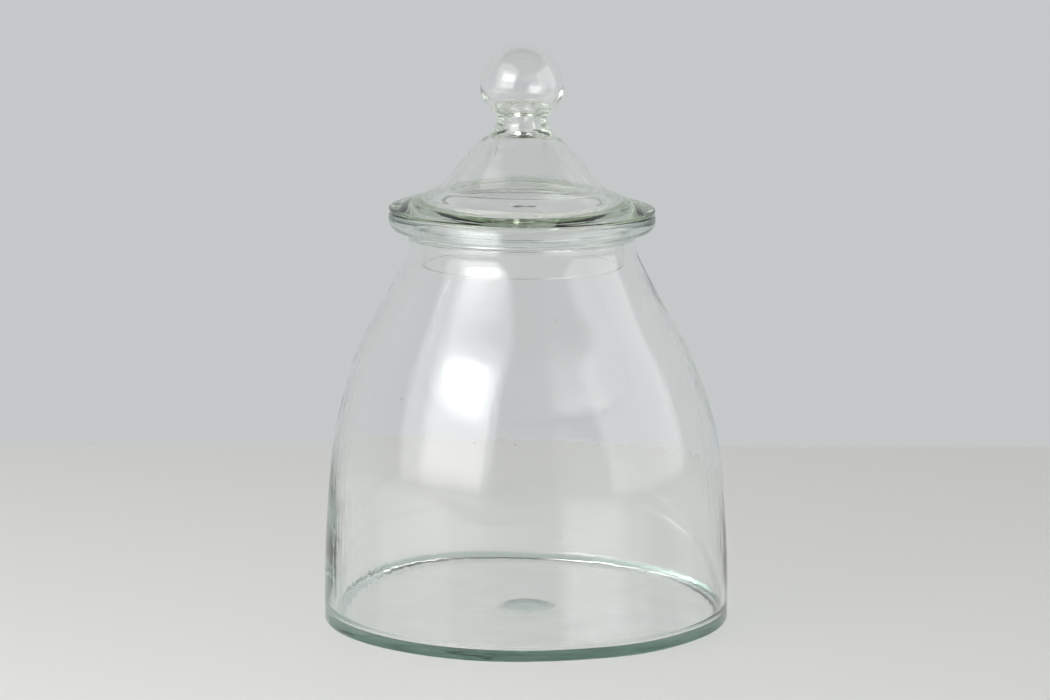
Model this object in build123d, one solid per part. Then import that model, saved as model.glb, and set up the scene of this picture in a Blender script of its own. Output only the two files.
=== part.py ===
"""A lidded bell jar of hand-blown glass: a bell with a thick floor and a flanged mouth,
and a loose lid with a flat brim, a skirt that drops into the mouth, a dome and a hollow knob.

Every piece is turned about the Z axis. The origin is the centre of the jar's underside, +Z up.
Outlines are (radius, height) points in millimetres, listed from the bottom upwards.
"""

import os

from build123d import *

# ---------------------------------------------------------------- driving dimensions, mm
BELL_RADIUS = 101.8  # widest radius of the bell, an 8 inch jar
FOOT_CORNER = 1.4  # rounding between the underside and the wall
FLOOR_THICKNESS = 4.2
FLOOR_FLAT_RADIUS = 92.5  # where the floor starts to curve up into the wall
BASE_SEAM = 9.0  # height at which the base dish ends and the wall begins
PONTIL_RADIUS = 15.0  # shallow recess left where the pontil rod was ground off
PONTIL_DEPTH = 0.5
PONTIL_SHOULDER = 0.75  # share of the depth left halfway out

WALL_AT_BASE = 4.4  # wall thickness low down, where the glass gathers
WALL_THIN = 1.9  # wall thickness over the shoulder
THINNING_END = 85.0  # height above which the wall is thin

NECK_RADIUS = 57.0  # narrowest outside radius, just under the rim flange
NECK_HEIGHT = 190.5
BELL_OUTLINE = [
    (BELL_RADIUS, BASE_SEAM),
    (101.3, 38.0),
    (99.5, 68.0),
    (96.2, 95.0),
    (90.0, 118.0),
    (80.2, 143.0),
    (69.2, 163.0),
    (60.4, 180.0),
    (NECK_RADIUS, NECK_HEIGHT),
]

MOUTH_RADIUS = 54.0  # clear opening inside the rim
MOUTH_CORNER = 2.5
NECK_FLARE = (57.5, 195.5)  # where the neck turns out into the flange
FLANGE_FOOT_RADIUS = 59.2  # where the flange's flat underside begins
RIM_RADIUS = 66.8  # outer edge of the rim flange, a thick round lip
RIM_UNDERSIDE = 197.0
RIM_TOP = 207.0
RIM_LOW_CORNER = 5.6
RIM_TOP_CORNER = 3.4

LID_GAP = 0.2  # air between the rim's top and the lid's underside
LID_UNDERSIDE = RIM_TOP + LID_GAP
BRIM_RADIUS = 66.6
BRIM_CORNER = 0.6  # rounding under the brim's outer edge
BRIM_OUTLINE = [
    (BRIM_RADIUS, LID_UNDERSIDE + BRIM_CORNER),
    (65.3, 208.9),
    (61.6, 210.4),
    (58.0, 211.6),
    (53.7, 212.9),
]
DOME_OUTLINE = [
    (49.2, 214.6),
    (40.4, 219.4),
    (33.4, 227.6),
    (26.8, 235.6),
    (20.4, 242.2),
]
DOME_FOOT_SLOPE = (-0.91, 0.41)  # the way the outside runs where the brim becomes the dome
DOME_FOOT_INSIDE_SLOPE = (-0.8, 0.6)
DOME_FOOT_WALL = 3.6  # wall thickness there
DOME_WALL = 2.0
DOME_THINNING = 4.5  # height over which the wall thins
DOME_CEILING = (10.0, 245.9)  # where the dome's inside turns up into the knob's bore

SKIRT_RADIUS = 51.3  # outside of the skirt at the brim
SKIRT_TAPER = 0.5  # how much narrower the skirt is at its foot
SKIRT_WALL = 2.3
SKIRT_FOOT = 179.3

NECK_FOOT_HEIGHT = 248.0  # seam between the dome and the knob's neck
NECK_FOOT_RADIUS = 13.6
WAIST_HEIGHT = 252.2
WAIST_RADIUS = 12.1
NECK_TOP_HEIGHT = 256.0  # seam between the neck and the ball
NECK_TOP_RADIUS = 13.6
BORE_RADIUS = 5.6  # passage from the dome into the ball
BORE_END_RADIUS = 6.4

BALL_RADIUS = 20.8
BALL_CENTRE = 269.2
BALL_WALL = 1.2
BALL_FOOT_OUTLINE = [(18.2, 260.6)]  # between the neck and the ball's widest place
BALL_FOOT_INSIDE = [(16.2, 261.2), (10.0, 257.7)]  # the same inside, downwards

# ways that an outline runs at a seam, as (radius, height)
UP, DOWN, OUT = (0, 1), (0, -1), (1, 0)
INTO_NECK, OUT_OF_NECK = (-0.3, 1), (0.75, 1)
INTO_BORE, OUT_OF_BORE = (-0.1, 1), (0.3, 1)


# ---------------------------------------------------------------- helpers
def turned(*edges):
    """The solid swept by a closed (radius, height) outline round the Z axis."""
    face = make_face(Curve() + list(edges))
    return revolve(Plane.XZ * face, axis=Axis.Z)


def smoothstep(share):
    share = min(max(share, 0.0), 1.0)
    return share * share * (3.0 - 2.0 * share)


def wall_thickness(height):
    """Glass is thick where the wall leaves the floor and thins out going up the bell."""
    climbed = smoothstep((height - BASE_SEAM) / (THINNING_END - BASE_SEAM))
    return WALL_AT_BASE + (WALL_THIN - WALL_AT_BASE) * climbed


def back(way):
    return (-way[0], -way[1])


def inner_points(outline, curve, thickness):
    """Each outline point moved inwards, square to the curve, by the thickness there."""
    points = []
    for radius, height in outline:
        along = curve.tangent_at(Vector(radius, height))
        depth = thickness(height)
        points.append((radius - along.Y * depth, height + along.X * depth))
    return points


# ---------------------------------------------------------------- jar
def bell_curves():
    outer = Spline(*BELL_OUTLINE, tangents=[UP, UP])
    inside = inner_points(BELL_OUTLINE, outer, wall_thickness)
    inner = Spline(*inside, tangents=[UP, UP])
    return outer, inner


def jar_base():
    """Thick floor, rounded foot, and the corner that curves up into the wall."""
    outer, inner = bell_curves()
    inner_foot = inner @ 0
    recess_middle = (PONTIL_RADIUS / 2, PONTIL_DEPTH * PONTIL_SHOULDER)
    foot_radius = BELL_RADIUS - FOOT_CORNER
    return turned(
        Line((0, FLOOR_THICKNESS), (0, PONTIL_DEPTH)),
        ThreePointArc((0, PONTIL_DEPTH), recess_middle, (PONTIL_RADIUS, 0)),
        Line((PONTIL_RADIUS, 0), (foot_radius, 0)),
        RadiusArc((foot_radius, 0), (BELL_RADIUS, FOOT_CORNER), -FOOT_CORNER),
        Line((BELL_RADIUS, FOOT_CORNER), outer @ 0),
        Line(outer @ 0, inner_foot),
        Spline((FLOOR_FLAT_RADIUS, FLOOR_THICKNESS), inner_foot, tangents=[OUT, UP]),
        Line((FLOOR_FLAT_RADIUS, FLOOR_THICKNESS), (0, FLOOR_THICKNESS)),
    )


def jar_wall():
    """The bell, from the base dish to the neck."""
    outer, inner = bell_curves()
    return turned(outer, Line(outer @ 1, inner @ 1), inner, Line(inner @ 0, outer @ 0))


def jar_rim():
    """Short neck that flares into the thick flange round the mouth."""
    outer, inner = bell_curves()
    neck_inside = inner @ 1
    flange_foot = (FLANGE_FOOT_RADIUS, RIM_UNDERSIDE)
    lip_low = (RIM_RADIUS - RIM_LOW_CORNER, RIM_UNDERSIDE)
    lip_side_low = (RIM_RADIUS, RIM_UNDERSIDE + RIM_LOW_CORNER)
    lip_side_high = (RIM_RADIUS, RIM_TOP - RIM_TOP_CORNER)
    lip_top = (RIM_RADIUS - RIM_TOP_CORNER, RIM_TOP)
    mouth_top = (MOUTH_RADIUS + MOUTH_CORNER, RIM_TOP)
    mouth_side = (MOUTH_RADIUS, RIM_TOP - MOUTH_CORNER)
    return turned(
        Spline(outer @ 1, NECK_FLARE, flange_foot, tangents=[UP, OUT]),
        Line(flange_foot, lip_low),
        RadiusArc(lip_low, lip_side_low, -RIM_LOW_CORNER),
        Line(lip_side_low, lip_side_high),
        RadiusArc(lip_side_high, lip_top, -RIM_TOP_CORNER),
        Line(lip_top, mouth_top),
        RadiusArc(mouth_top, mouth_side, -MOUTH_CORNER),
        Spline(mouth_side, neck_inside, tangents=[DOWN, DOWN]),
        Line(neck_inside, outer @ 1),
    )


# ---------------------------------------------------------------- lid
def dome_thickness(height):
    climbed = smoothstep((height - DOME_OUTLINE[0][1]) / DOME_THINNING)
    return DOME_FOOT_WALL + (DOME_WALL - DOME_FOOT_WALL) * climbed


def dome_curves():
    neck_foot = (NECK_FOOT_RADIUS, NECK_FOOT_HEIGHT)
    bore_foot = (BORE_END_RADIUS, NECK_FOOT_HEIGHT)
    outer = Spline(*DOME_OUTLINE, neck_foot, tangents=[DOME_FOOT_SLOPE, INTO_NECK])
    inside = inner_points(DOME_OUTLINE, outer, dome_thickness)
    inner = Spline(*inside, DOME_CEILING, bore_foot, tangents=[DOME_FOOT_INSIDE_SLOPE, INTO_BORE])
    return outer, inner


def lid_brim():
    """Flat-bottomed ring that lies on the jar's rim; its top falls away to a round edge."""
    outer, inner = dome_curves()
    skirt_inside = (SKIRT_RADIUS - SKIRT_WALL, LID_UNDERSIDE)
    edge_foot = (BRIM_RADIUS - BRIM_CORNER, LID_UNDERSIDE)
    return turned(
        Line(skirt_inside, edge_foot),
        RadiusArc(edge_foot, BRIM_OUTLINE[0], -BRIM_CORNER),
        Spline(*BRIM_OUTLINE, outer @ 0, tangents=[UP, DOME_FOOT_SLOPE]),
        Line(outer @ 0, inner @ 0),
        Spline(skirt_inside, inner @ 0, tangents=[UP, DOME_FOOT_INSIDE_SLOPE]),
    )


def lid_skirt():
    """Collar that hangs from the brim into the mouth and keeps the lid centred."""
    foot_radius = SKIRT_RADIUS - SKIRT_TAPER
    half_wall = SKIRT_WALL / 2
    outside_foot = (foot_radius, SKIRT_FOOT + half_wall)
    inside_foot = (foot_radius - SKIRT_WALL, SKIRT_FOOT + half_wall)
    inside_top = (SKIRT_RADIUS - SKIRT_WALL, LID_UNDERSIDE)
    return turned(
        Line(inside_top, (SKIRT_RADIUS, LID_UNDERSIDE)),
        Line((SKIRT_RADIUS, LID_UNDERSIDE), outside_foot),
        ThreePointArc(outside_foot, (foot_radius - half_wall, SKIRT_FOOT), inside_foot),
        Line(inside_foot, inside_top),
    )


def lid_dome():
    """Tent-shaped dome that rises from the brim to the knob's neck."""
    outer, inner = dome_curves()
    return turned(outer, Line(outer @ 1, inner @ 1), inner, Line(inner @ 0, outer @ 0))


def knob_neck():
    """Thick pinched waist with a bore that joins the dome's hollow to the ball's."""
    foot, top = (NECK_FOOT_RADIUS, NECK_FOOT_HEIGHT), (NECK_TOP_RADIUS, NECK_TOP_HEIGHT)
    bore_foot, bore_top = (BORE_END_RADIUS, NECK_FOOT_HEIGHT), (BORE_END_RADIUS, NECK_TOP_HEIGHT)
    return turned(
        Spline(foot, (WAIST_RADIUS, WAIST_HEIGHT), top, tangents=[INTO_NECK, OUT_OF_NECK]),
        Line(top, bore_top),
        Spline(bore_foot, (BORE_RADIUS, WAIST_HEIGHT), bore_top, tangents=[INTO_BORE, OUT_OF_BORE]),
        Line(bore_foot, foot),
    )


def knob_ball():
    """Thin hollow ball, drawn in at its foot to the neck."""
    foot, side = (NECK_TOP_RADIUS, NECK_TOP_HEIGHT), (BALL_RADIUS, BALL_CENTRE)
    crown = (0, BALL_CENTRE + BALL_RADIUS)
    inner_radius = BALL_RADIUS - BALL_WALL
    inner_side, inner_crown = (inner_radius, BALL_CENTRE), (0, BALL_CENTRE + inner_radius)
    bore_top = (BORE_END_RADIUS, NECK_TOP_HEIGHT)
    return turned(
        Spline(foot, *BALL_FOOT_OUTLINE, side, tangents=[OUT_OF_NECK, UP]),
        RadiusArc(side, crown, -BALL_RADIUS),
        Line(crown, inner_crown),
        RadiusArc(inner_crown, inner_side, inner_radius),
        Spline(inner_side, *BALL_FOOT_INSIDE, bore_top, tangents=[DOWN, back(OUT_OF_BORE)]),
        Line(bore_top, foot),
    )


PIECES = {
    "jar_base": jar_base,
    "jar_wall": jar_wall,
    "jar_rim": jar_rim,
    "lid_brim": lid_brim,
    "lid_skirt": lid_skirt,
    "lid_dome": lid_dome,
    "knob_neck": knob_neck,
    "knob_ball": knob_ball,
}

os.makedirs("parts", exist_ok=True)
for name, make in PIECES.items():
    export_step(make(), f"parts/{name}.step")
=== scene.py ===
"""Looks of the lidded glass bell jar: two loose pieces of hand-blown glass round the CAD frame.

Everything is in metres, in the frame of the CAD model: +Z up, origin under the middle of the jar.
Each loose piece is one closed mesh turned from an outline of (radius, height) points, so that its
glass has no seams inside, then pushed about by a fraction of a millimetre as blown glass is.
"""

import math
import random

import bmesh
import bpy
import numpy as np
from mathutils import Matrix, Vector, noise


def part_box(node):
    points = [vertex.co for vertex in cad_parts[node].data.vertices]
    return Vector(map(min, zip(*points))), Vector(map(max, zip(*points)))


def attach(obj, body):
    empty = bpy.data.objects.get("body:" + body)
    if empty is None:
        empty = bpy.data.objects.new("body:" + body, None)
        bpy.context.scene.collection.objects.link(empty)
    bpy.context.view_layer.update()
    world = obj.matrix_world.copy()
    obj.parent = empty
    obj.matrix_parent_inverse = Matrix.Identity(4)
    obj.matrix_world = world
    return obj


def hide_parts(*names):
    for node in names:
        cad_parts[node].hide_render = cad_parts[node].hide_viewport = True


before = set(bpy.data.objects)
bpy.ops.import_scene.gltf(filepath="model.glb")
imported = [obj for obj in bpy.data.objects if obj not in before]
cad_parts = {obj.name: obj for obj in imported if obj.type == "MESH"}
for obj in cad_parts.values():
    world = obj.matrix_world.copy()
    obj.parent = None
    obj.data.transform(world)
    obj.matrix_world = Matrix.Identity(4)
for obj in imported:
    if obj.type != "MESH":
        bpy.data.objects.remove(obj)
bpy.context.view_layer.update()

MM = 0.001
SCENE = bpy.context.scene

# ------------------------------------------------------------------ sizes, from the frame
BASE_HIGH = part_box("jar_base")[1]
WALL_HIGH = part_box("jar_wall")[1]
RIM_LOW, RIM_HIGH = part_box("jar_rim")
BRIM_LOW, BRIM_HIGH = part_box("lid_brim")
SKIRT_LOW, SKIRT_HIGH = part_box("lid_skirt")
NECK_LOW, NECK_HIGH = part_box("knob_neck")
BALL_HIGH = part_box("knob_ball")[1]

BELL_RADIUS = BASE_HIGH.x
SEAM = BASE_HIGH.z
NECK_HEIGHT = WALL_HIGH.z
RIM_RADIUS, RIM_TOP = RIM_HIGH.x, RIM_HIGH.z
BRIM_RADIUS, LID_UNDERSIDE = BRIM_HIGH.x, BRIM_LOW.z
SKIRT_RADIUS, SKIRT_FOOT = SKIRT_HIGH.x, SKIRT_LOW.z
BALL_RADIUS, CROWN = BALL_HIGH.x, BALL_HIGH.z
BALL_CENTRE = CROWN - BALL_RADIUS

TURNS = 256  # faces round each piece
STEP = 1.1 * MM  # length of a face along an outline
LEAST_STEP = 0.02 * MM  # points of an outline closer than this are one point
ARC_POINTS, LIP_POINTS, BALL_POINTS = 10, 14, 40


# ------------------------------------------------------------------ outlines
# Directions (outward, up) that an outline leaves or reaches a point in.
UP, DOWN, OUT, IN = (0, 1), (0, -1), (1, 0), (-1, 0)
INTO_NECK, OUT_OF_NECK = (-0.3, 1), (0.75, 1)
INTO_BORE, OUT_OF_BORE = (-0.1, 1), (0.3, 1)
INTO_CEILING = (-0.7, 0.7)


def curve(points, start=None, end=None):
    """A smooth line through the points, as a clamped cubic spline; start and end are directions."""
    pts = np.array(points, float)
    gaps = np.hypot(*np.diff(pts, axis=0).T)
    n = len(pts)
    matrix, right = np.zeros((n, n)), np.zeros((n, 2))
    for i in range(1, n - 1):
        before, after = gaps[i - 1], gaps[i]
        matrix[i, i - 1 : i + 2] = after, 2 * (before + after), before
        slopes = np.diff(pts[i - 1 : i + 2], axis=0) / np.array([[before], [after]])
        right[i] = 3 * (after * slopes[0] + before * slopes[1])
    for row, way, other in ((0, start, 1), (n - 1, end, n - 2)):
        if way is None:
            matrix[row, row], matrix[row, other] = 2, 1
            right[row] = 3 * (pts[max(row, other)] - pts[min(row, other)]) / gaps[min(row, other)]
        else:
            matrix[row, row] = 1
            right[row] = np.array(way, float) / math.hypot(*way)
    slopes = np.linalg.solve(matrix, right)
    line = []
    for i in range(n - 1):
        count = max(2, round(gaps[i] / STEP))
        t = np.linspace(0, 1, count, endpoint=False)[:, None]
        rise = pts[i + 1] - pts[i]
        line.append(
            pts[i]
            + gaps[i] * slopes[i] * t * (1 - t) ** 2
            + rise * t * t * (3 - 2 * t)
            - gaps[i] * slopes[i + 1] * t * t * (1 - t)
        )
    return np.vstack(line + [pts[-1:]])


def arc(centre, radius, first, last, count=ARC_POINTS):
    """Points of a round stretch; angles are in degrees, from the outward direction towards up."""
    turn = np.radians(np.linspace(first, last, count))
    return np.array(centre) + radius * np.stack([np.cos(turn), np.sin(turn)], 1)


def straight(a, b):
    count = max(2, round(math.dist(a, b) / STEP) + 1)
    return np.linspace(a, b, count)


def joined(*stretches):
    """One outline of the stretches, without the points that two of them share."""
    points = np.vstack(stretches)
    apart = np.hypot(*np.diff(points, axis=0).T) > LEAST_STEP
    return points[np.concatenate([[True], apart])]


def smoothstep(share):
    share = np.clip(share, 0, 1)
    return share * share * (3 - 2 * share)


# ------------------------------------------------------------------ jar outline
WALL_AT_BASE, WALL_THIN = 4.4 * MM, 1.9 * MM
THINNING_END = 85 * MM
FLOOR = 4.2 * MM
FLOOR_FLAT_RADIUS = 92.5 * MM
FOOT_CORNER = 1.4 * MM
PONTIL_RADIUS, PONTIL_DEPTH = 15 * MM, 0.5 * MM
PONTIL_SHOULDER = 0.75  # share of the pontil recess's depth that is left halfway out
NECK_RADIUS = 57.0 * MM
NECK_FLARE = (57.5 * MM, 195.5 * MM)
FLANGE_FOOT_RADIUS = 59.2 * MM
MOUTH_RADIUS, MOUTH_CORNER = 54 * MM, 2.5 * MM
RIM_UNDERSIDE = 197.0 * MM
RIM_LOW_CORNER, RIM_TOP_CORNER = 5.6 * MM, 3.4 * MM

BELL = [
    (BELL_RADIUS, SEAM),
    (101.3 * MM, 38 * MM),
    (99.5 * MM, 68 * MM),
    (96.2 * MM, 95 * MM),
    (90.0 * MM, 118 * MM),
    (80.2 * MM, 143 * MM),
    (69.2 * MM, 163 * MM),
    (60.4 * MM, 180 * MM),
    (NECK_RADIUS, NECK_HEIGHT),
]


def inward(line, thickness):
    """A line moved square to itself, towards the axis for a line that climbs."""
    along = np.gradient(line, axis=0)
    along /= np.hypot(*along.T)[:, None]
    depth = thickness(line[:, 1])[:, None]
    return line + depth * np.stack([-along[:, 1], along[:, 0]], 1)


def wall_thickness(height):
    climbed = smoothstep((height - SEAM) / (THINNING_END - SEAM))
    return WALL_AT_BASE + (WALL_THIN - WALL_AT_BASE) * climbed


def jar_outline():
    """From the middle of the underside, up the outside, over the rim, down to the floor's middle."""
    outer = curve(BELL, UP, UP)
    inner = inward(outer, wall_thickness)[::-1]
    foot = BELL_RADIUS - FOOT_CORNER
    shoulder = (PONTIL_RADIUS / 2, PONTIL_DEPTH * PONTIL_SHOULDER)
    flange_foot = (FLANGE_FOOT_RADIUS, RIM_UNDERSIDE)
    lip_low = (RIM_RADIUS - RIM_LOW_CORNER, RIM_UNDERSIDE + RIM_LOW_CORNER)
    lip_high = (RIM_RADIUS - RIM_TOP_CORNER, RIM_TOP - RIM_TOP_CORNER)
    mouth_top = MOUTH_RADIUS + MOUTH_CORNER
    return joined(
        curve([(0, PONTIL_DEPTH), shoulder, (PONTIL_RADIUS, 0)], OUT, OUT),
        straight((PONTIL_RADIUS, 0), (foot, 0)),
        arc((foot, FOOT_CORNER), FOOT_CORNER, -90, 0),
        straight((BELL_RADIUS, FOOT_CORNER), (BELL_RADIUS, SEAM)),
        outer,
        curve([outer[-1], NECK_FLARE, flange_foot], UP, OUT),
        straight(flange_foot, (lip_low[0], RIM_UNDERSIDE)),
        arc(lip_low, RIM_LOW_CORNER, -90, 0, LIP_POINTS),
        straight((RIM_RADIUS, lip_low[1]), (RIM_RADIUS, lip_high[1])),
        arc(lip_high, RIM_TOP_CORNER, 0, 90),
        straight((lip_high[0], RIM_TOP), (mouth_top, RIM_TOP)),
        arc((mouth_top, RIM_TOP - MOUTH_CORNER), MOUTH_CORNER, 90, 180),
        curve([(MOUTH_RADIUS, RIM_TOP - MOUTH_CORNER), inner[0]], DOWN, DOWN),
        inner,
        curve([inner[-1], (FLOOR_FLAT_RADIUS, FLOOR)], DOWN, IN),
        straight((FLOOR_FLAT_RADIUS, FLOOR), (0, FLOOR)),
    )


# ------------------------------------------------------------------ lid outline
BRIM_CORNER = 0.6 * MM
BRIM = [
    (BRIM_RADIUS, LID_UNDERSIDE + BRIM_CORNER),
    (65.3 * MM, 208.9 * MM),
    (61.6 * MM, 210.4 * MM),
    (58.0 * MM, 211.6 * MM),
    (53.7 * MM, 212.9 * MM),
]
DOME = [
    (49.2 * MM, 214.6 * MM),
    (40.4 * MM, 219.4 * MM),
    (33.4 * MM, 227.6 * MM),
    (26.8 * MM, 235.6 * MM),
    (20.4 * MM, 242.2 * MM),
]
DOME_FOOT_SLOPE, DOME_FOOT_INSIDE_SLOPE = (-0.91, 0.41), (-0.8, 0.6)
DOME_FOOT_WALL, DOME_WALL, DOME_THINNING = 3.6 * MM, 2.0 * MM, 4.5 * MM
DOME_CEILING = (10 * MM, 245.9 * MM)
SKIRT_WALL, SKIRT_TAPER = 2.3 * MM, 0.5 * MM
SKIRT_TOP_CORNER = 1.5 * MM
WAIST = (12.1 * MM, NECK_LOW.z + 4.2 * MM)
KNOB_FOOT_RADIUS = 13.6 * MM
BORE_RADIUS, BORE_END = 5.6 * MM, 6.4 * MM
BALL_WALL = 1.2 * MM
BALL_FOOT = (18.2 * MM, 260.6 * MM)
BALL_FOOT_INSIDE = [(10.0 * MM, 257.7 * MM), (16.2 * MM, 261.2 * MM)]


def dome_thickness(height):
    climbed = smoothstep((height - DOME[0][1]) / DOME_THINNING)
    return DOME_FOOT_WALL + (DOME_WALL - DOME_FOOT_WALL) * climbed


def lid_outline():
    """From the inside of the ball's crown, down the inside, round the skirt and up the outside."""
    foot_radius, half_wall = SKIRT_RADIUS - SKIRT_TAPER, SKIRT_WALL / 2
    foot_height = SKIRT_FOOT + half_wall
    skirt_inside = (SKIRT_RADIUS - SKIRT_WALL, LID_UNDERSIDE)
    skirt_corner = SKIRT_RADIUS + SKIRT_TOP_CORNER
    skirt_top = LID_UNDERSIDE - SKIRT_TOP_CORNER
    brim_foot = BRIM_RADIUS - BRIM_CORNER
    knob_foot = (KNOB_FOOT_RADIUS, NECK_LOW.z)
    knob_top = (KNOB_FOOT_RADIUS, NECK_HIGH.z)
    bore_foot, bore_top = (BORE_END, NECK_LOW.z), (BORE_END, NECK_HIGH.z)
    ball_inside = (BALL_RADIUS - BALL_WALL, BALL_CENTRE)
    outer = curve(DOME + [knob_foot], DOME_FOOT_SLOPE, INTO_NECK)
    inner = inward(curve(DOME, DOME_FOOT_SLOPE), dome_thickness)
    inside = joined(
        straight((foot_radius - SKIRT_WALL, foot_height), skirt_inside),
        curve([skirt_inside, inner[0]], UP, DOME_FOOT_INSIDE_SLOPE),
        inner,
        curve([inner[-1], DOME_CEILING, bore_foot], INTO_CEILING, INTO_BORE),
        curve([bore_foot, (BORE_RADIUS, WAIST[1]), bore_top], INTO_BORE, OUT_OF_BORE),
        curve([bore_top] + BALL_FOOT_INSIDE + [ball_inside], OUT_OF_BORE, UP),
        arc((0, BALL_CENTRE), ball_inside[0], 0, 90, BALL_POINTS),
    )
    outside = joined(
        arc((foot_radius - half_wall, foot_height), half_wall, -180, 0),
        straight((foot_radius, foot_height), (SKIRT_RADIUS, skirt_top)),
        arc((skirt_corner, skirt_top), SKIRT_TOP_CORNER, 180, 90),
        straight((skirt_corner, LID_UNDERSIDE), (brim_foot, LID_UNDERSIDE)),
        arc((brim_foot, LID_UNDERSIDE + BRIM_CORNER), BRIM_CORNER, -90, 0),
        curve(BRIM + [DOME[0]], UP, DOME_FOOT_SLOPE),
        outer,
        curve([knob_foot, WAIST, knob_top], INTO_NECK, OUT_OF_NECK),
        curve([knob_top, BALL_FOOT, (BALL_RADIUS, BALL_CENTRE)], OUT_OF_NECK, UP),
        arc((0, BALL_CENTRE), BALL_RADIUS, 0, 90, BALL_POINTS),
    )
    return joined(inside[::-1], outside)


# ------------------------------------------------------------------ meshes
def turned(name, outline):
    """A closed mesh of the outline turned round the Z axis; its two ends lie on the axis."""
    middle = outline[1:-1]
    turn = np.linspace(0, 2 * math.pi, TURNS, endpoint=False)
    rings = np.empty((len(middle), TURNS, 3))
    rings[..., 0] = middle[:, :1] * np.cos(turn)
    rings[..., 1] = middle[:, :1] * np.sin(turn)
    rings[..., 2] = middle[:, 1:]
    ends = [[[0, 0, outline[0, 1]]], [[0, 0, outline[-1, 1]]]]
    points = np.vstack([rings.reshape(-1, 3)] + ends)
    first, last = len(points) - 2, len(points) - 1
    here = np.arange(TURNS)
    there = (here + 1) % TURNS
    faces = []
    for k in range(len(middle) - 1):
        a, b = k * TURNS, (k + 1) * TURNS
        faces += np.stack([a + here, a + there, b + there, b + here], 1).tolist()
    end = (len(middle) - 1) * TURNS
    faces += np.stack([there, here, np.full(TURNS, first)], 1).tolist()
    faces += np.stack([end + here, end + there, np.full(TURNS, last)], 1).tolist()
    mesh = bpy.data.meshes.new(name)
    mesh.from_pydata(points.tolist(), [], faces)
    mesh.update()
    mesh.shade_smooth()
    obj = bpy.data.objects.new(name, mesh)
    SCENE.collection.objects.link(obj)
    return obj


JAR_WAVES, LID_WAVES = 0.45 * MM, 0.3 * MM  # greatest depth of the waves
WAVE_MIDDLE = -0.5  # the waves swing about this share of their depth
# Each set of waves: how many per metre along x, y and z, a shift along them, and its share.
WAVE_SETS = (
    ((20, 20, 20), (0, 0, 0), 0.7),
    ((12, 12, 60), (0, 0, 3), 0.2),
    ((45, 45, 40), (7, 0, 0), 0.16),
)
CALM_RADIUS = 32 * MM  # the waves die out towards the axis, over this distance
FOLLOWING = 0.6  # share of a wave of the outer surface that the inner one follows

LEAN = 2.0 * MM  # how far the upper half of the bell, and the lid on it, sits off the foot's axis
LEAN_START, LEAN_RISE = 90 * MM, 70 * MM
TILT = 0.013  # slope of the rim's top, and of the lid that lies on it, down to the left
RIM_TILT_START, RIM_TILT_RISE = RIM_LOW.z, 14 * MM
HOLLOW_SHIFT = 1.3 * MM  # the hollow sits off centre low down, so the left wall is thicker
SHOULDER_SHIFT = 0.75 * MM  # and the other way over the shoulder, where the left wall is thin
SHOULDER_START, SHOULDER_FULL = 35 * MM, 95 * MM
SHOULDER_EASE, SHOULDER_END = 150 * MM, 188 * MM


def places(mesh, what):
    values = np.empty(len(mesh.vertices) * 3)
    mesh.vertices.foreach_get(what, values)
    return values.reshape(-1, 3)


def ring_numbers(obj, outline):
    """For each point of a turned mesh, which point of the outline it was turned from."""
    numbers = 1 + np.arange(len(obj.data.vertices)) // TURNS
    numbers[-2:] = 0, len(outline) - 1
    return numbers


def waves(point):
    """Height of the glass's waves at a point, mostly from -1 to 0."""
    height = WAVE_MIDDLE
    for often, shift, share in WAVE_SETS:
        height += share * noise.noise([p * o + s for p, o, s in zip(point, often, shift)])
    return height


def blown(obj, inside, depth):
    """Waves of blown glass: the outer surface sinks in, and the inner one mostly follows it."""
    mesh = obj.data
    points, normals = places(mesh, "co"), places(mesh, "normal")
    push = np.clip([waves(point) for point in points], -1, 0)
    fade = smoothstep(np.hypot(points[:, 0], points[:, 1]) / CALM_RADIUS)
    side = np.where(inside, -FOLLOWING, 1)
    points += normals * (depth * push * fade * side)[:, None]
    mesh.vertices.foreach_set("co", points.ravel())


def hollow_offset(height):
    """How far to the right the jar's hollow sits at a height."""
    low = 1 - smoothstep(height / THINNING_END)
    shoulder = smoothstep((height - SHOULDER_START) / (SHOULDER_FULL - SHOULDER_START))
    neck = smoothstep((height - SHOULDER_EASE) / (SHOULDER_END - SHOULDER_EASE))
    return HOLLOW_SHIFT * low - SHOULDER_SHIFT * shoulder * (1 - neck)


def rim_share(height):
    """Share of the tilt that the jar has at a height: none in the bell, all of it at the rim."""
    return smoothstep((height - RIM_TILT_START) / RIM_TILT_RISE)


def settled(obj, inside, offset, tilt_share):
    """The lean, the tilt and the off-centre hollow of a hand-made piece."""
    mesh = obj.data
    points = places(mesh, "co")
    height = points[:, 2].copy()
    points[:, 0] += inside * offset(height)
    points[:, 2] -= TILT * tilt_share(height) * points[:, 0]
    points[:, 0] -= LEAN * smoothstep((height - LEAN_START) / LEAN_RISE)
    mesh.vertices.foreach_set("co", points.ravel())
    mesh.update()


JAR_SEEDS, LID_SEEDS = 34, 8
SEED_DEPTH = 0.75 * MM  # how far under the outer surface the seeds lie
SEED_SMALLEST, SEED_LARGEST = 0.12 * MM, 0.3 * MM
SEED_LONGEST = 4  # times as long as wide
CHANCE_START = 5


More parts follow.
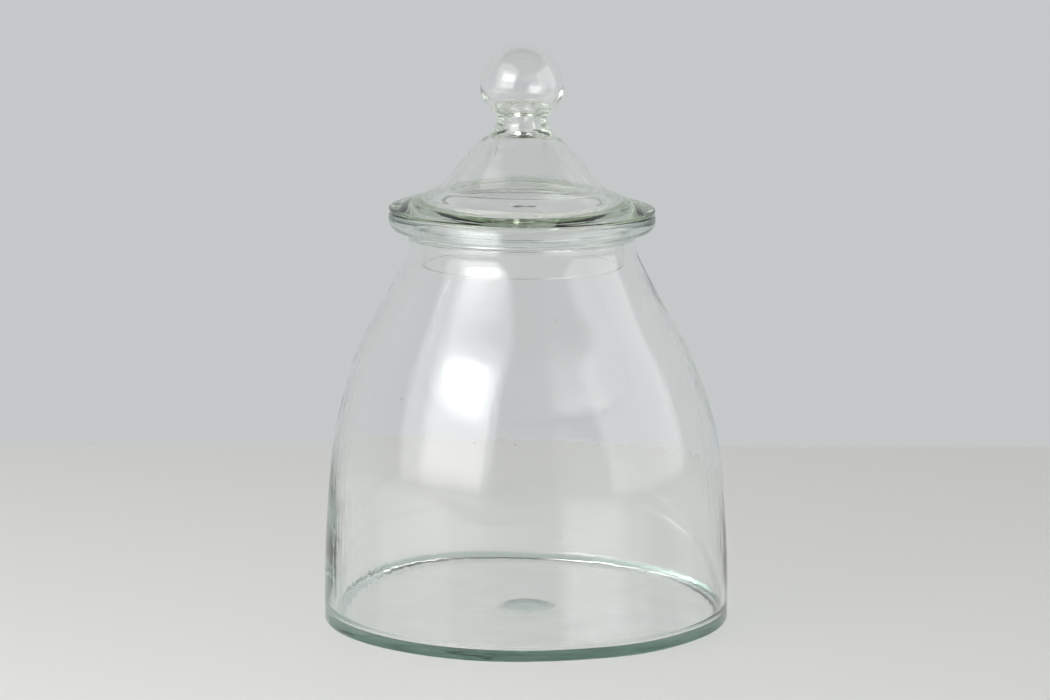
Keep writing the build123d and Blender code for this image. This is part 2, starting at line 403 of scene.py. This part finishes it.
def seeds(obj, outline, lowest, highest, count, dice):
    """Tiny bubbles drawn out along the wall, as shells that face into their own air."""
    mesh = obj.data
    points, normals = places(mesh, "co"), places(mesh, "normal")
    outer = np.arange(len(outline)) < np.argmax(outline[:, 1])
    climbing = outer & (outline[:, 1] > lowest) & (outline[:, 1] < highest)
    rings = np.flatnonzero(climbing) - 1
    shell = bmesh.new()
    shell.from_mesh(mesh)
    for _ in range(count):
        at = dice.choice(rings) * TURNS + dice.randrange(TURNS)
        normal, along = Vector(normals[at]), Vector(points[at + TURNS] - points[at]).normalized()
        size, stretch = dice.uniform(SEED_SMALLEST, SEED_LARGEST), dice.uniform(1, SEED_LONGEST)
        sides = [along.cross(normal) * size, normal * size, along * size * stretch]
        turn = Matrix(sides).transposed().to_4x4()
        turn.translation = Vector(points[at]) - normal * SEED_DEPTH
        made = bmesh.ops.create_icosphere(shell, subdivisions=2, radius=1, matrix=turn)
        faces = list({face for vertex in made["verts"] for face in vertex.link_faces})
        for face in faces:
            face.smooth = True
        bmesh.ops.recalc_face_normals(shell, faces=faces)
        bmesh.ops.reverse_faces(shell, faces=faces)
    shell.to_mesh(mesh)
    shell.free()


# ------------------------------------------------------------------ nodes
MIX_SHARE, MIX_FIRST, MIX_SECOND, MIX_RESULT = 0, 6, 7, 2  # a colour Mix node's sockets


def node(tree, kind, **settings):
    made = tree.nodes.new(kind)
    for setting, value in settings.items():
        setattr(made, setting, value)
    return made


def ranged(tree, source, start, end, low=0.0, high=1.0, way="LINEAR"):
    """A value that goes from low to high while its source goes from start to end."""
    made = node(tree, "ShaderNodeMapRange", interpolation_type=way)
    for socket, value in zip(("From Min", "From Max", "To Min", "To Max"), (start, end, low, high)):
        made.inputs[socket].default_value = value
    tree.links.new(source, made.inputs["Value"])
    return made.outputs["Result"]


def combined(tree, operation, first, second):
    """Two values joined by a sum, product or other operation; the second may be a number."""
    made = node(tree, "ShaderNodeMath", operation=operation)
    tree.links.new(first, made.inputs[0])
    if isinstance(second, float):
        made.inputs[1].default_value = second
    else:
        tree.links.new(second, made.inputs[1])
    return made.outputs[0]


def mixed(tree, share, first, second):
    """A colour between two others, each a plain colour or another node's output."""
    made = node(tree, "ShaderNodeMix", data_type="RGBA")
    tree.links.new(share, made.inputs[MIX_SHARE])
    for socket, colour in ((MIX_FIRST, first), (MIX_SECOND, second)):
        if isinstance(colour, tuple):
            made.inputs[socket].default_value = (*colour, 1)
        else:
            tree.links.new(colour, made.inputs[socket])
    return made.outputs[MIX_RESULT]


def split_place(tree, place):
    made = node(tree, "ShaderNodeSeparateXYZ")
    tree.links.new(place, made.inputs[0])
    return made.outputs


def distance(tree, place, weights):
    """Distance from the origin, with x, y and z weighed."""
    weighed = node(tree, "ShaderNodeVectorMath", operation="MULTIPLY")
    weighed.inputs[1].default_value = weights
    length = node(tree, "ShaderNodeVectorMath", operation="LENGTH")
    tree.links.new(place, weighed.inputs[0])
    tree.links.new(weighed.outputs[0], length.inputs[0])
    return length.outputs["Value"]


# ------------------------------------------------------------------ glass
WHITE = (1, 1, 1)
GLASS_INDEX = 1.5
DENSITY = 10.0
JAR_TINT, LID_TINT = (0.42, 0.58, 0.51), (0.24, 0.4, 0.14)

# The ripples: how they are stretched, how many per metre, and their height.
DRAWN_RIPPLES = ((1, 1, 0.12), 240, 0.05 * MM)
TURNED_RIPPLES = ((0.06, 0.06, 1), 190, 0.03 * MM)
RIPPLES_FULL = 40 * MM  # height where they reach their full strength, from the floor up
FLOOR_RIPPLES, NECK_RIPPLES = 0.15, 0.35  # share of their strength in the floor and in the neck
NECK_EASE = 20 * MM

SCAR_RADIUS = 13 * MM
SCAR_EDGE_START, SCAR_EDGE_END = SCAR_RADIUS, 1.9 * SCAR_RADIUS
SCAR_FLATNESS = 8.0  # the patch is this much flatter than it is wide, so it stays in the underside
SCAR_GRAIN = 90.0
SCAR_COLOUR = (0.5, 0.7, 0.63)
SCAR_ROUGHNESS = 0.5
# Painted shade: a darker green on the foot's outside, standing in for the dark band that light's
# long way through the thick base gives.
FOOT_SHADE_COLOUR = (0.5, 0.64, 0.57)
FOOT_INSIDE, FOOT_OUTSIDE = 99.5 * MM, 100.5 * MM
FOOT_TOP, FOOT_FADED = 3.6 * MM, 6.5 * MM


def ripples(tree, place):
    """Fine ripples drawn up the wall, crossed by fainter rings from turning the hot glass."""
    height = split_place(tree, place)["Z"]
    upright = ranged(tree, height, FLOOR, RIPPLES_FULL, FLOOR_RIPPLES, 1.0)
    worked = ranged(tree, height, NECK_HEIGHT - NECK_EASE, NECK_HEIGHT, 1.0, NECK_RIPPLES)
    strength = combined(tree, "MULTIPLY", upright, worked)
    normal = None
    for stretch, scale, depth in (DRAWN_RIPPLES, TURNED_RIPPLES):
        drawn = node(tree, "ShaderNodeMapping")
        drawn.inputs["Scale"].default_value = stretch
        grain = node(tree, "ShaderNodeTexNoise")
        grain.inputs["Scale"].default_value = scale
        grain.inputs["Detail"].default_value = 1.0
        relief = node(tree, "ShaderNodeBump")
        relief.inputs["Distance"].default_value = depth
        tree.links.new(strength, relief.inputs["Strength"])
        tree.links.new(place, drawn.inputs["Vector"])
        tree.links.new(drawn.outputs["Vector"], grain.inputs["Vector"])
        tree.links.new(grain.outputs[0], relief.inputs["Height"])
        if normal:
            tree.links.new(normal, relief.inputs["Normal"])
        normal = relief.outputs["Normal"]
    return normal


def clear_of_scar(tree, place):
    """0 in a ragged round patch in the middle of the underside, where the rod was, and 1 outside."""
    cloud = node(tree, "ShaderNodeTexNoise")
    cloud.inputs["Scale"].default_value = SCAR_GRAIN
    tree.links.new(place, cloud.inputs["Vector"])
    rough_edge = combined(tree, "MULTIPLY", cloud.outputs[0], SCAR_RADIUS)
    from_axis = distance(tree, place, (1, 1, SCAR_FLATNESS))
    ragged = combined(tree, "ADD", rough_edge, from_axis)
    return ranged(tree, ragged, SCAR_EDGE_START, SCAR_EDGE_END, way="SMOOTHSTEP")


def foot_shade_share(tree, place):
    """Share of the foot's painted shade: 1 on the outside of the foot, fading to 0 just above the
    floor's thickness and inwards.
    """
    outer = ranged(tree, distance(tree, place, (1, 1, 0)), FOOT_INSIDE, FOOT_OUTSIDE)
    height = split_place(tree, place)["Z"]
    low = ranged(tree, height, FOOT_TOP, FOOT_FADED, 1.0, 0.0, "SMOOTHSTEP")
    return combined(tree, "MULTIPLY", outer, low)


def glass(name, tint):
    """Clear glass with a faint green body colour; lamps shine through it without a caustic."""
    mat = bpy.data.materials.new(name)
    mat.use_nodes = True
    tree = mat.node_tree
    tree.nodes.clear()
    place = node(tree, "ShaderNodeTexCoord").outputs["Object"]
    body = node(tree, "ShaderNodeBsdfPrincipled")
    body.inputs["Base Color"].default_value = (*WHITE, 1)
    body.inputs["Roughness"].default_value = 0.0
    body.inputs["Transmission Weight"].default_value = 1.0
    body.inputs["IOR"].default_value = GLASS_INDEX
    tree.links.new(ripples(tree, place), body.inputs["Normal"])
    inside = node(tree, "ShaderNodeVolumeAbsorption")
    inside.inputs["Color"].default_value = (*tint, 1)
    inside.inputs["Density"].default_value = DENSITY
    path = node(tree, "ShaderNodeLightPath").outputs
    lets_through = combined(tree, "MAXIMUM", path["Is Shadow Ray"], path["Is Diffuse Ray"])
    either = node(tree, "ShaderNodeMixShader")
    out = node(tree, "ShaderNodeOutputMaterial")
    tree.links.new(lets_through, either.inputs[0])
    tree.links.new(body.outputs[0], either.inputs[1])
    tree.links.new(node(tree, "ShaderNodeBsdfTransparent").outputs[0], either.inputs[2])
    tree.links.new(either.outputs[0], out.inputs["Surface"])
    tree.links.new(inside.outputs[0], out.inputs["Volume"])
    return mat, tree, place, body


def jar_glass():
    """The jar's glass, with a frosted green pontil scar, and painted shade round the foot: a darker
    green standing in for the dark band of the thick base.
    """
    mat, tree, place, body = glass("green_glass", JAR_TINT)
    clear = clear_of_scar(tree, place)
    # The scar's green is its own mark; the foot's darker green is painted shade.
    colour = mixed(tree, foot_shade_share(tree, place), mixed(tree, clear, SCAR_COLOUR, WHITE), FOOT_SHADE_COLOUR)
    tree.links.new(colour, body.inputs["Base Color"])
    tree.links.new(ranged(tree, clear, 0.0, 1.0, SCAR_ROUGHNESS, 0.0), body.inputs["Roughness"])
    return mat


# ------------------------------------------------------------------ the two pieces
jar_line, lid_line = jar_outline(), lid_outline()
jar = turned("jar_glass", jar_line)
lid = turned("lid_glass", lid_line)
jar_inside = ring_numbers(jar, jar_line) > np.argmax(jar_line[:, 1])
lid_inside = ring_numbers(lid, lid_line) < np.argmin(lid_line[:, 1])
blown(jar, jar_inside, JAR_WAVES)
blown(lid, lid_inside, LID_WAVES)
settled(jar, jar_inside, hollow_offset, rim_share)
settled(lid, lid_inside, np.zeros_like, np.ones_like)
chance = random.Random(CHANCE_START)
seeds(jar, jar_line, SEAM, NECK_HEIGHT, JAR_SEEDS, chance)
seeds(lid, lid_line, DOME[0][1], DOME[-1][1], LID_SEEDS, chance)
jar.data.materials.append(jar_glass())
lid.data.materials.append(glass("olive_glass", LID_TINT)[0])

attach(jar, "jar")
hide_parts("jar_base", "jar_wall", "jar_rim")
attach(lid, "lid")
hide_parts("lid_brim", "lid_skirt", "lid_dome", "knob_neck", "knob_ball")


# ------------------------------------------------------------------ table, room and lamps
TABLE_BACK, TABLE_FRONT = 0.442, -1.4
TABLE_HALF_WIDTH = 1.6
TABLE_THICK = 0.03
TABLE_GAP = 0.2 * MM  # air under the glass, which never touches all over
TABLE_COLOUR, TABLE_ROUGHNESS, TABLE_SPECULAR = (0.8, 0.797, 0.775), 0.5, 0.2

FRONT_COLOUR, BACK_COLOUR = (0.3, 0.305, 0.305), (0.558, 0.578, 0.584)
OVERHEAD_COLOUR = (0.1, 0.105, 0.085)
# Between these two directions, one colour of the room passes into the other.
FRONT_END, BACK_START = -0.35, 0.5
WALLS_END, OVERHEAD_START = 0.6, 0.78

LAMP_TARGET = Vector((0, 0, 0.13))
# Azimuth 0 is the camera's side and positive is to the right; sizes and distances in metres.
# name, azimuth, elevation, distance, width, height, radiance, soft share of the edges
LAMPS = (
    ("window", -41, 30, 2.0, 1.6, 0.9, 7.5, 0.42),
    ("curtain", -43, 24, 2.4, 2.4, 2.6, 2.2, 0.25),
    ("left_wall", -52, 31, 2.7, 3.6, 3.9, 1.3, 0.15),
    ("right_wall", 80, 20, 2.4, 3.0, 2.2, 1.1, 0.1),
)

CAMERA_PLACE = (-0.0005, -2.4, 0.559)
CAMERA_DOWN = 9.99  # degrees below level
CAMERA_SPREAD = 12.32  # degrees across the picture
SENSOR = 36.0
BOUNCES = 32  # light is reflected many times inside the thick ring of the rim


def table():
    mat = bpy.data.materials.new("pale_table")
    mat.use_nodes = True
    shader = mat.node_tree.nodes["Principled BSDF"]
    shader.inputs["Base Color"].default_value = (*TABLE_COLOUR, 1)
    shader.inputs["Roughness"].default_value = TABLE_ROUGHNESS
    shader.inputs["Specular IOR Level"].default_value = TABLE_SPECULAR
    mesh = bpy.data.meshes.new("table")
    x, back, front = TABLE_HALF_WIDTH, TABLE_BACK, TABLE_FRONT
    corners = [(-x, front), (x, front), (x, back), (-x, back)]
    top = [(a, b, -TABLE_GAP) for a, b in corners]
    bottom = [(a, b, -TABLE_THICK) for a, b in corners]
    faces = [(0, 1, 2, 3), (7, 6, 5, 4)]
    faces += [(i, i + 4, (i + 1) % 4 + 4, (i + 1) % 4) for i in range(4)]
    mesh.from_pydata(top + bottom, [], faces)
    mesh.materials.append(mat)
    obj = bpy.data.objects.new("table", mesh)
    SCENE.collection.objects.link(obj)


def room():
    """Grey studio wall behind the object, dimmer in front, and dark right overhead."""
    world = bpy.data.worlds.new("room")
    SCENE.world = world
    world.use_nodes = True
    tree = world.node_tree
    tree.nodes.clear()
    way = split_place(tree, node(tree, "ShaderNodeTexCoord").outputs["Generated"])
    back = ranged(tree, way["Y"], FRONT_END, BACK_START, way="SMOOTHSTEP")
    overhead = ranged(tree, way["Z"], WALLS_END, OVERHEAD_START, way="SMOOTHSTEP")
    walls = mixed(tree, back, FRONT_COLOUR, BACK_COLOUR)
    light = node(tree, "ShaderNodeBackground")
    out = node(tree, "ShaderNodeOutputWorld")
    tree.links.new(mixed(tree, overhead, walls, OVERHEAD_COLOUR), light.inputs["Color"])
    tree.links.new(light.outputs[0], out.inputs["Surface"])


def soft_edged(data, edge):
    """Fades a lamp out towards its four edges, over the given share of its width and height."""
    data.use_nodes = True
    tree = data.node_tree
    place = split_place(tree, node(tree, "ShaderNodeNewGeometry").outputs["Parametric"])
    fades = []
    for axis in ("X", "Y"):
        from_middle = combined(tree, "SUBTRACT", place[axis], 0.5)
        away = node(tree, "ShaderNodeMath", operation="ABSOLUTE")
        tree.links.new(from_middle, away.inputs[0])
        fades.append(ranged(tree, away.outputs[0], 0.5 - edge, 0.5, 1.0, 0.0, "SMOOTHSTEP"))
    strength = combined(tree, "MULTIPLY", *fades)
    tree.links.new(strength, tree.nodes["Emission"].inputs["Strength"])


def softbox(name, azimuth, elevation, away, width, height, radiance, edge):
    """A rectangular lamp with soft edges, facing the object."""
    a, e = math.radians(azimuth), math.radians(elevation)
    way = Vector((math.sin(a) * math.cos(e), -math.cos(a) * math.cos(e), math.sin(e)))
    data = bpy.data.lights.new(name, "AREA")
    data.shape = "RECTANGLE"
    data.size, data.size_y = width, height
    data.energy = radiance * math.pi * width * height
    soft_edged(data, edge)
    obj = bpy.data.objects.new(name, data)
    obj.location = LAMP_TARGET + way * away
    obj.rotation_euler = way.to_track_quat("Z", "Y").to_euler()
    obj.visible_camera = False
    SCENE.collection.objects.link(obj)


def camera():
    data = bpy.data.cameras.new("camera")
    data.sensor_width = SENSOR
    data.lens = SENSOR / 2 / math.tan(math.radians(CAMERA_SPREAD / 2))
    obj = bpy.data.objects.new("camera", data)
    obj.location = CAMERA_PLACE
    obj.rotation_euler = (math.radians(90 - CAMERA_DOWN), 0, 0)
    SCENE.collection.objects.link(obj)
    SCENE.camera = obj


camera()
table()
room()
for lamp in LAMPS:
    softbox(*lamp)

SCENE.view_settings.view_transform = "Standard"
SCENE.cycles.max_bounces = BOUNCES
SCENE.cycles.transmission_bounces = BOUNCES
SCENE.cycles.glossy_bounces = BOUNCES
SCENE.cycles.transparent_max_bounces = BOUNCES
SCENE.cycles.caustics_refractive = False
SCENE.cycles.caustics_reflective = False
